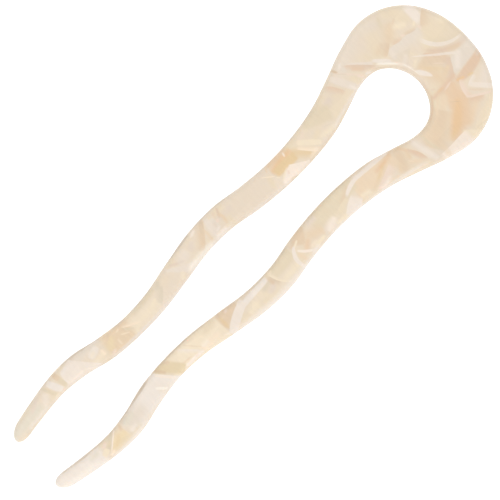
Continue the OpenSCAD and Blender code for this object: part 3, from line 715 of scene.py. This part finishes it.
class SheetPlaceGroup(NodeGroup):
    """Gives the place in the sheet's pattern, in millimetres, that shows at a point of the solid.

    The streaks slant and wander through the thickness, so the sides and the back show them
    drawn out and shifted, as a solid sheet does.
    """

    title = "Place in the sheet"
    inputs = (
        ("Point", "NodeSocketVector"),
        ("Thickness", "NodeSocketFloat"),
        ("Slant", "NodeSocketVector"),
        ("Waver", "NodeSocketFloat"),
        ("Drift", "NodeSocketFloat"),
    )
    outputs = (("Place", "NodeSocketVector"), ("Steady place", "NodeSocketVector"))
    swirls_per_mm = 0.22
    swirl_detail = 2.0
    swirl_roughness = 0.5
    depth_stretch = (1.0, 1.0, 3.0)
    noise_middle = (0.5, 0.5, 0.5)
    plan_only = (1.0, 1.0, 0.0)

    def fill(self) -> None:
        """Shifts the point by its depth below the upper face, and wavers it a little."""
        w, given = self.wiring, self.given
        point = w.scaled(given["Point"], 1 / MM)
        parts = w.add("ShaderNodeSeparateXYZ")
        w.feed(parts.inputs[0], point)
        depth = w.math("SUBTRACT", given["Thickness"], parts.outputs["Z"])
        slanted = w.vector("ADD", point, w.scaled(given["Slant"], depth))
        deeper = w.vector("MULTIPLY", point, self.depth_stretch)
        swirl = w.noise(deeper, self.swirls_per_mm, self.swirl_detail, self.swirl_roughness)
        centred = w.vector("SUBTRACT", swirl.outputs["Color"], self.noise_middle)
        amount = w.math("ADD", given["Waver"], w.math("MULTIPLY", given["Drift"], depth))
        wavered = w.vector("ADD", slanted, w.scaled(centred, amount))
        w.feed(self.made["Place"], w.vector("MULTIPLY", wavered, self.plan_only))
        w.feed(self.made["Steady place"], w.vector("MULTIPLY", slanted, self.plan_only))


class SilkGroup(NodeGroup):
    """Gives the fine silk of the pearl flakes, which lie another way in each chip of the sheet."""

    title = "Pearl silk"
    inputs = (("Place", "NodeSocketVector"), ("Steady place", "NodeSocketVector"))
    outputs = (
        ("Silk", "NodeSocketFloat"),
        ("Chip", "NodeSocketFloat"),
        ("Clouds", "NodeSocketFloat"),
    )
    chips_per_mm = 0.24
    chip_turn_degrees = 40.0
    chip_stretch = (1.0, 0.45, 1.0)
    red_only = (1.0, 0.0, 0.0)
    silk_turns_degrees = (-48.0, 35.0)
    silk_stretch = (0.35, 1.9, 1.0)
    silk_per_mm = 0.9
    silk_detail = 5.0
    silk_roughness = 0.62
    clouds_per_mm = 0.11
    cloud_detail = 3.0
    cloud_roughness = 0.55

    def fill(self) -> None:
        """Mixes two brushed noises by the chip that a place is in."""
        w, place = self.wiring, self.given["Place"]
        chips = w.add("ShaderNodeTexVoronoi", feature="F1", voronoi_dimensions="2D")
        laid_out = w.turned(place, self.chip_turn_degrees, self.chip_stretch)
        w.feed(chips.inputs["Vector"], laid_out)
        w.feed(chips.inputs["Scale"], self.chips_per_mm)
        chip = w.vector("DOT_PRODUCT", chips.outputs["Color"], self.red_only)
        brushed = []
        for degrees in self.silk_turns_degrees:
            lay = w.turned(place, degrees, self.silk_stretch)
            silk = w.noise(lay, self.silk_per_mm, self.silk_detail, self.silk_roughness)
            brushed.append(silk.outputs["Fac"])
        first = w.math("MULTIPLY", brushed[0], chip)
        second = w.math("MULTIPLY", brushed[1], w.math("SUBTRACT", 1.0, chip))
        w.feed(self.made["Silk"], w.math("ADD", first, second))
        w.feed(self.made["Chip"], chip)
        steady = self.given["Steady place"]
        clouds = w.noise(steady, self.clouds_per_mm, self.cloud_detail, self.cloud_roughness)
        w.feed(self.made["Clouds"], clouds.outputs["Fac"])


@dataclass(frozen=True)
class PearlAcetate:
    """Polished cellulose acetate: pressed chips of cream and tan pearl under a clear gloss.

    For each millimetre below the upper face, the pattern shifts by the slant and wavers by the
    drift more than it does on that face. The tints are charted as they show, so the coat's own
    shine is taken off them. The crisp fade is how soft a streak's sharpest side is.
    """

    thickness_mm: float = SHEET_THICKNESS_MM
    slant: XYZ = (0.15, -0.1, 0.0)
    waver_mm: float = 0.3
    drift: float = 0.5
    lightness: float = 0.91
    coat_shine: float = 0.04
    crisp_fade_mm: float = 0.22
    clouds_start: float = 0.38
    clouds_stop: float = 0.66
    shimmer: float = 0.14
    shimmer_least: float = 0.93
    chip_cast: float = 0.04
    chip_cast_least: float = 0.98
    roughness: float = 0.3
    roughness_spread: float = 0.2
    ior: float = 1.48
    coat_roughness: float = 0.05
    depth_weight: float = 0.1
    depth_radius: Colour = (1.0, 0.75, 0.5)
    depth_mm: float = 1.5
    silk_depth_mm: float = 0.02

    def albedo(self, tint: Tint) -> tuple[float, float, float, float]:
        """Works out the sheet's own colour, which shows as a tint under the coat.

        Args:
            tint: The tint.

        Returns:
            The colour in linear light, with its alpha.
        """
        under_coat = [linear(level) - self.coat_shine for level in tint.value]
        return (*(share * self.lightness for share in under_coat), 1.0)

    def lay(self, w: Wiring, group: StreakGroup, sheet: bpy.types.NodeSocket,
            place: bpy.types.NodeSocket, streak: Streak) -> bpy.types.NodeSocket:
        """Lays one charted streak over the sheet.

        Args:
            w: The material's wiring.
            group: The node group that lays a streak.
            sheet: The sheet's colour so far.
            place: The place in the sheet, in millimetres.
            streak: The streak.

        Returns:
            The sheet's colour with the streak on it.
        """
        start, end = Vector((*streak.start, 0.0)), Vector((*streak.end, 0.0))
        run = end - start
        half_length = run.length / 2
        heading = run.normalized()
        left_fade, right_fade = (max(self.crisp_fade_mm, share * streak.width)
                                 for share in streak.edge.value)
        node = group.place(
            w,
            Sheet=sheet,
            Place=place,
            Middle=(start + end) / 2,
            Along=heading / half_length,
            Across=(-heading.y, heading.x, 0.0),
            Reach=streak.width / 2,
            Bend=streak.bend,
            Taper=streak.taper,
            Lean=streak.lean,
            Left_fade=left_fade,
            Right_fade=right_fade,
            End_fade=streak.ends,
            Strength=streak.strength,
            Tint=self.albedo(streak.tint),
        )
        return node.outputs["Sheet"]

    def pattern(self, w: Wiring, place: bpy.types.NodeSocket,
                clouds: bpy.types.NodeSocket) -> bpy.types.NodeSocket:
        """Mixes the sheet's ground and lays the charted streaks over it, then the painted shade
        and highlights along the edges.

        Args:
            w: The material's wiring.
            place: The place in the sheet, in millimetres.
            clouds: The noise that mixes the ground.

        Returns:
            The sheet's colour.
        """
        warmth = w.ease(clouds, self.clouds_start, self.clouds_stop)
        sheet = w.mix(warmth, self.albedo(PEARL), self.albedo(STRAW))
        group = StreakGroup()
        for streak in CROWN + SHOULDERS + LEFT_PRONG + RIGHT_PRONG + EDGE_SHADE_AND_HIGHLIGHT:
            sheet = self.lay(w, group, sheet, place, streak)
        return sheet

    def material(self, name: str) -> bpy.types.Material:
        """Builds the material.

        Args:
            name: The material's name.

        Returns:
            The material.
        """
        material = bpy.data.materials.new(name)
        material.use_nodes = True
        w = Wiring(material.node_tree)
        shader = material.node_tree.nodes["Principled BSDF"]
        point = w.add("ShaderNodeTexCoord").outputs["Object"]
        inside = SheetPlaceGroup().place(
            w,
            Point=point,
            Thickness=self.thickness_mm,
            Slant=self.slant,
            Waver=self.waver_mm,
            Drift=self.drift,
        )
        place = inside.outputs["Place"]
        silk = SilkGroup().place(w, Place=place, Steady_place=inside.outputs["Steady place"])
        sheet = self.pattern(w, place, silk.outputs["Clouds"])
        threads = silk.outputs["Silk"]
        shimmer = w.math("MULTIPLY_ADD", threads, self.shimmer, self.shimmer_least)
        cast = w.math("MULTIPLY_ADD", silk.outputs["Chip"], self.chip_cast, self.chip_cast_least)
        rough = w.math("MULTIPLY_ADD", threads, self.roughness_spread, self.roughness)
        w.feed(shader.inputs["Base Color"], w.scaled(sheet, w.math("MULTIPLY", shimmer, cast)))
        w.feed(shader.inputs["Roughness"], rough)
        shader.inputs["IOR"].default_value = self.ior
        shader.inputs["Subsurface Weight"].default_value = self.depth_weight
        shader.inputs["Subsurface Radius"].default_value = self.depth_radius
        shader.inputs["Subsurface Scale"].default_value = self.depth_mm * MM
        shader.inputs["Coat Weight"].default_value = 1.0
        shader.inputs["Coat Roughness"].default_value = self.coat_roughness
        shader.inputs["Coat IOR"].default_value = self.ior
        bump = w.add("ShaderNodeBump")
        w.feed(bump.inputs["Height"], threads)
        bump.inputs["Distance"].default_value = self.silk_depth_mm * MM
        w.feed(shader.inputs["Normal"], bump.outputs["Normal"])
        return material


@dataclass(frozen=True)
class Section:
    """A cut across the bar of one half, from its inner edge to its outer edge, in millimetres.

    Each point is how far sideways from the fork's middle line, and how far up from the tips.
    """

    inner: Plan
    outer: Plan


@dataclass
class HairFork:
    """The fork's one bar: a prong, the crown and the other prong, with every edge rounded."""

    sections: tuple[Section, ...] = (
        # Crown, from its middle to the widest place
        Section((0.0, 120.4), (0.0, 135.0)),
        Section((3.4, 119.75), (7.3, 134.0)),
        Section((6.1, 118.1), (13.2, 130.8)),
        Section((7.8, 115.9), (17.0, 125.8)),
        Section((8.4, 113.2), (18.35, 120.3)),
        # Eye and neck
        Section((8.1, 110.2), (17.0, 113.0)),
        Section((6.8, 106.0), (14.5, 106.0)),
        Section((5.0, 100.0), (12.5, 100.0)),
        Section((4.0, 92.0), (11.05, 92.0)),
        # Bends of the prong
        Section((3.9, 84.5), (10.65, 84.5)),
        Section((4.65, 76.0), (11.3, 76.0)),
        Section((6.0, 68.0), (12.45, 68.5)),
        Section((6.1, 61.0), (12.35, 61.0)),
        Section((4.85, 52.0), (10.9, 52.0)),
        Section((3.85, 44.0), (9.4, 44.0)),
        Section((3.7, 37.0), (9.05, 37.0)),
        Section((4.35, 29.0), (10.1, 29.0)),
        Section((6.0, 22.0), (11.5, 22.5)),
        Section((6.7, 16.0), (11.6, 17.0)),
        # Tip
        Section((6.2, 9.0), (10.5, 9.0)),
        Section((4.8, 0.0), (8.5, 0.0)),
    )
    length_mm: float = 135.0
    thickness_mm: float = SHEET_THICKNESS_MM
    edge_radius_mm: float = 1.4
    nose_length_mm: float = 3.3
    short_prong_trim_mm: float = 0.7
    ring_step_mm: float = 0.55
    edge_steps: int = 8
    nose_steps: int = 14
    face_strip_mm: float = 0.2
    finish: PearlAcetate = PearlAcetate()

    def __post_init__(self) -> None:
        """Works out the points, stretches and headings of the inner and the outer edge."""
        inner = [Vector(section.inner) for section in self.sections]
        outer = [Vector(section.outer) for section in self.sections]
        self.edges = [inner, outer]
        self.stretches = [[(b - a).length for a, b in zip(e, e[1:])] for e in self.edges]
        self.headings = [self.edge_headings(e, s) for e, s in zip(self.edges, self.stretches)]

    @staticmethod
    def edge_headings(points: list[Vector], stretches: list[float]) -> list[Vector]:
        """Works out an edge's direction at each section.

        Args:
            points: The edge's points.
            stretches: The distances between them.

        Returns:
            The directions. The crown's middle runs straight across, and the tip keeps the bend.
        """
        slopes = [(b - a) / d for a, b, d in zip(points, points[1:], stretches)]
        headings = [Vector((points[1].x / stretches[0], 0.0))]
        for i in range(1, len(slopes)):
            before, after = stretches[i - 1], stretches[i]
            headings.append((slopes[i] * before + slopes[i - 1] * after) / (before + after))
        headings.append(2 * slopes[-1] - headings[-1])
        return headings

    def edge_at(self, edge: int, i: int, t: float) -> Vector:
        """Finds a point of an edge.

        Args:
            edge: INNER or OUTER.
            i: The stretch, counted from the crown's middle.
            t: The share of the stretch.

        Returns:
            The point, sideways and up from the tips.
        """
        a, b = self.edges[edge][i], self.edges[edge][i + 1]
        leave = self.headings[edge][i] * self.stretches[edge][i]
        arrive = self.headings[edge][i + 1] * self.stretches[edge][i]
        back = 1 - t
        return (a * (1 + 2 * t) * back * back + leave * t * back * back
                + b * t * t * (3 - 2 * t) - arrive * t * t * back)

    def half_cuts(self, trim_mm: float) -> list[tuple[int, float, float]]:
        """Lists where one half's cross-sections lie, from the crown's middle to the tip.

        Args:
            trim_mm: How much shorter this half's prong is ground.

        Returns:
            The stretch, the share of it, and how full the section is, of each cut.
        """
        last = len(self.sections) - 2
        outer = self.stretches[OUTER]
        end = 1 - trim_mm / outer[last]
        nose = self.nose_length_mm / outer[last]
        cuts = []
        for i in range(last):
            n = math.ceil(outer[i] / self.ring_step_mm)
            cuts += [(i, k / n, 1.0) for k in range(n)]
        full_to = end - nose
        n = math.ceil(outer[last] * full_to / self.ring_step_mm)
        cuts += [(last, full_to * k / n, 1.0) for k in range(n)]
        for k in range(self.nose_steps):
            turn = math.pi / 2 * k / self.nose_steps
            cuts.append((last, end - nose * (1 - math.sin(turn)), math.cos(turn)))
        return cuts

    def outline(self, width_mm: float, fullness: float) -> list[tuple[float, float]]:
        """Draws the bar's cross-section.

        Args:
            width_mm: The bar's width there.
            fullness: How far a rounded tip has shrunk, from 1 to 0.

        Returns:
            The outline's points, outwards from the bar's middle and up from its mid-thickness.
        """
        radius = self.edge_radius_mm
        reach, rise = width_mm / 2 - radius, self.thickness_mm / 2 - radius
        points = []
        for quarter, (side_u, side_z) in enumerate(((1, 1), (-1, 1), (-1, -1), (1, -1))):
            steps = range(self.edge_steps + 1)
            angles = [math.pi / 2 * (quarter + k / self.edge_steps) for k in steps]
            arc = [(side_u * reach + radius * math.cos(a), side_z * rise + radius * math.sin(a))
                   for a in angles]
            # A narrow strip of the flat face beside each rounded edge keeps its shading flat
            strip = (side_u * (reach - self.face_strip_mm), side_z * self.thickness_mm / 2)
            points += arc + [strip] if side_u * side_z > 0 else [strip] + arc
        return [(u * fullness, z * fullness) for u, z in points]

    def on_fork(self, plan: Vector, side: int, z_mm: float) -> Vector:
        """Returns a point of the fork in metres from its place in the plan of one half."""
        return Vector((side * plan.x, plan.y - self.length_mm / 2, z_mm)) * MM

    def ring(self, cut: tuple[int, float, float], side: int) -> list[Vector]:
        """Makes one cross-section's points.

        Args:
            cut: The stretch, the share of it, and how full the section is.
            side: 1 for the half at +X and -1 for the other.

        Returns:
            The points in metres.
        """
        i, t, fullness = cut
        inner, outer = self.edge_at(INNER, i, t), self.edge_at(OUTER, i, t)
        width = (outer - inner).length
        outwards = (outer - inner) / width
        return [self.on_fork((inner + outer) / 2 + outwards * u, side, self.thickness_mm / 2 + z)
                for u, z in self.outline(width, fullness)]

    def tip(self, trim_mm: float, side: int) -> Vector:
        """Finds the last point of a prong.

        Args:
            trim_mm: How much shorter this prong is ground.
            side: 1 for the half at +X and -1 for the other.

        Returns:
            The point in metres.
        """
        last = len(self.sections) - 2
        end = 1 - trim_mm / self.stretches[OUTER][last]
        middle = (self.edge_at(INNER, last, end) + self.edge_at(OUTER, last, end)) / 2
        return self.on_fork(middle, side, self.thickness_mm / 2)

    def mesh(self, name: str) -> bpy.types.Mesh:
        """Builds the whole bar, from the tip at -X over the crown to the tip at +X.

        Args:
            name: The mesh's name.

        Returns:
            The closed, smooth mesh.
        """
        left = [self.ring(cut, -1) for cut in reversed(self.half_cuts(self.short_prong_trim_mm))]
        right = [self.ring(cut, 1) for cut in self.half_cuts(0.0)]
        # Both halves share the ring at the crown's middle
        rings = left + right[1:]
        n, m = len(rings), len(rings[0])
        points = [p for ring in rings for p in ring]
        points += [self.tip(self.short_prong_trim_mm, -1), self.tip(0.0, 1)]
        faces = [(j * m + k, j * m + (k + 1) % m, (j + 1) * m + (k + 1) % m, (j + 1) * m + k)
                 for j in range(n - 1) for k in range(m)]
        faces += [(n * m, (k + 1) % m, k) for k in range(m)]
        faces += [(n * m + 1, (n - 1) * m + k, (n - 1) * m + (k + 1) % m) for k in range(m)]
        mesh = bpy.data.meshes.new(name)
        mesh.from_pydata(points, [], faces)
        mesh.shade_smooth()
        mesh.validate()
        return mesh

    def build(self) -> bpy.types.Object:
        """Builds the fork, dresses it and lets it stand for the CAD node.

        Returns:
            The fork.
        """
        fork = bpy.data.objects.new("hair_fork", self.mesh("hair_fork"))
        bpy.context.scene.collection.objects.link(fork)
        fork.data.materials.append(self.finish.material("pearl_acetate"))
        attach(fork, "root")
        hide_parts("fork")
        LOG.info("%s: %d faces", fork.name, len(fork.data.polygons))
        return fork


@dataclass
class Softbox:
    """A square soft lamp that shines at the fork.

    The direction points from the fork to the lamp, and the power is in watts.
    """

    name: str
    direction: XYZ
    distance: float
    size: float
    power: float
    casts_shadow: bool = True

    def build(self) -> bpy.types.Object:
        """Builds the lamp.

        Returns:
            The lamp, which the camera doesn't see itself.
        """
        light = bpy.data.lights.new(self.name, "AREA")
        light.shape = "SQUARE"
        light.size = self.size
        light.energy = self.power
        light.use_shadow = self.casts_shadow
        lamp = bpy.data.objects.new(self.name, light)
        towards = Vector(self.direction).normalized()
        lamp.location = towards * self.distance
        lamp.rotation_mode = "QUATERNION"
        lamp.rotation_quaternion = towards.to_track_quat("Z", "Y")
        lamp.visible_camera = False
        # Mirrored in the gloss, the lamps would burn the crown out to white in low views
        lamp.visible_glossy = False
        bpy.context.scene.collection.objects.link(lamp)
        LOG.info("%s: %.1f W", lamp.name, self.power)
        return lamp


@dataclass
class Studio:
    """The pale table, the soft light and the camera."""

    floor_width: float = 8.0
    floor_grey: float = 0.93
    floor_roughness: float = 0.9
    floor_shine: float = 0.1
    floor_glow: float = 0.5
    sky_strength: float = 0.76
    lens_mm: float = 200.0
    sensor_mm: float = 36.0
    camera_reach: float = 50.0
    view_width: float = 0.11107
    view_turn_degrees: float = 44.87
    view_centre: XYZ = (0.00016, -0.00009, 0.002)
    lamps: tuple[Softbox, ...] = (
        Softbox("key_softbox", (0.8, -0.42, 0.62), 0.75, 0.8, 2.35, casts_shadow=False),
        Softbox("fill_softbox", (-0.8, 0.3, 0.6), 0.75, 0.8, 1.0, casts_shadow=False),
        Softbox("crown_softbox", (-0.1, 0.8, 0.85), 1.1, 0.8, 1.6),
        Softbox("tip_softbox", (0.1, -0.8, 0.85), 1.1, 0.8, 1.6),
    )

    def floor(self) -> bpy.types.Object:
        """Lays the table top.

        Returns:
            The table top, which isn't part of the fork.
        """
        half = self.floor_width / 2
        mesh = bpy.data.meshes.new("table_top")
        corners = [(-half, -half, 0.0), (half, -half, 0.0), (half, half, 0.0), (-half, half, 0.0)]
        mesh.from_pydata(corners, [], [(0, 1, 2, 3)])
        material = bpy.data.materials.new("table_top")
        material.use_nodes = True
        shader = material.node_tree.nodes["Principled BSDF"]
        grey = self.floor_grey
        shader.inputs["Base Color"].default_value = (grey, grey, grey, 1.0)
        shader.inputs["Roughness"].default_value = self.floor_roughness
        shader.inputs["Specular IOR Level"].default_value = self.floor_shine
        shader.inputs["Emission Color"].default_value = PURE_WHITE
        w = Wiring(material.node_tree)
        seen = w.add("ShaderNodeLightPath").outputs["Is Camera Ray"]
        w.feed(shader.inputs["Emission Strength"], w.math("MULTIPLY", seen, self.floor_glow))
        mesh.materials.append(material)
        floor = bpy.data.objects.new("table_top", mesh)
        bpy.context.scene.collection.objects.link(floor)
        return floor

    def sky(self) -> None:
        """Lights the scene evenly from all round."""
        world = bpy.data.worlds.new("studio")
        world.use_nodes = True
        background = world.node_tree.nodes["Background"]
        background.inputs["Color"].default_value = PURE_WHITE
        background.inputs["Strength"].default_value = self.sky_strength
        bpy.context.scene.world = world

    def camera(self) -> bpy.types.Object:
        """Hangs the camera over the fork, turned so that the crown points up and to the right.

        Returns:
            The camera.
        """
        lens = bpy.data.cameras.new("camera")
        lens.lens = self.lens_mm
        lens.sensor_width = self.sensor_mm
        lens.clip_end = self.camera_reach
        camera = bpy.data.objects.new("camera", lens)
        height = self.view_width * self.lens_mm / self.sensor_mm
        camera.location = Vector(self.view_centre) + Vector((0.0, 0.0, height))
        camera.rotation_euler = (0.0, 0.0, math.radians(self.view_turn_degrees))
        bpy.context.scene.collection.objects.link(camera)
        bpy.context.scene.camera = camera
        return camera

    def build(self) -> None:
        """Builds the table, the lights and the camera."""
        self.floor()
        self.sky()
        for lamp in self.lamps:
            lamp.build()
        self.camera()
        bpy.context.scene.view_settings.view_transform = "Standard"
        LOG.info("studio: %d lamps", len(self.lamps))


def main() -> None:
    """Builds the fork and the studio around it."""
    logging.basicConfig(level=logging.INFO, format="%(name)s %(message)s")
    HairFork().build()
    Studio().build()


if __name__ == "__main__":
    main()
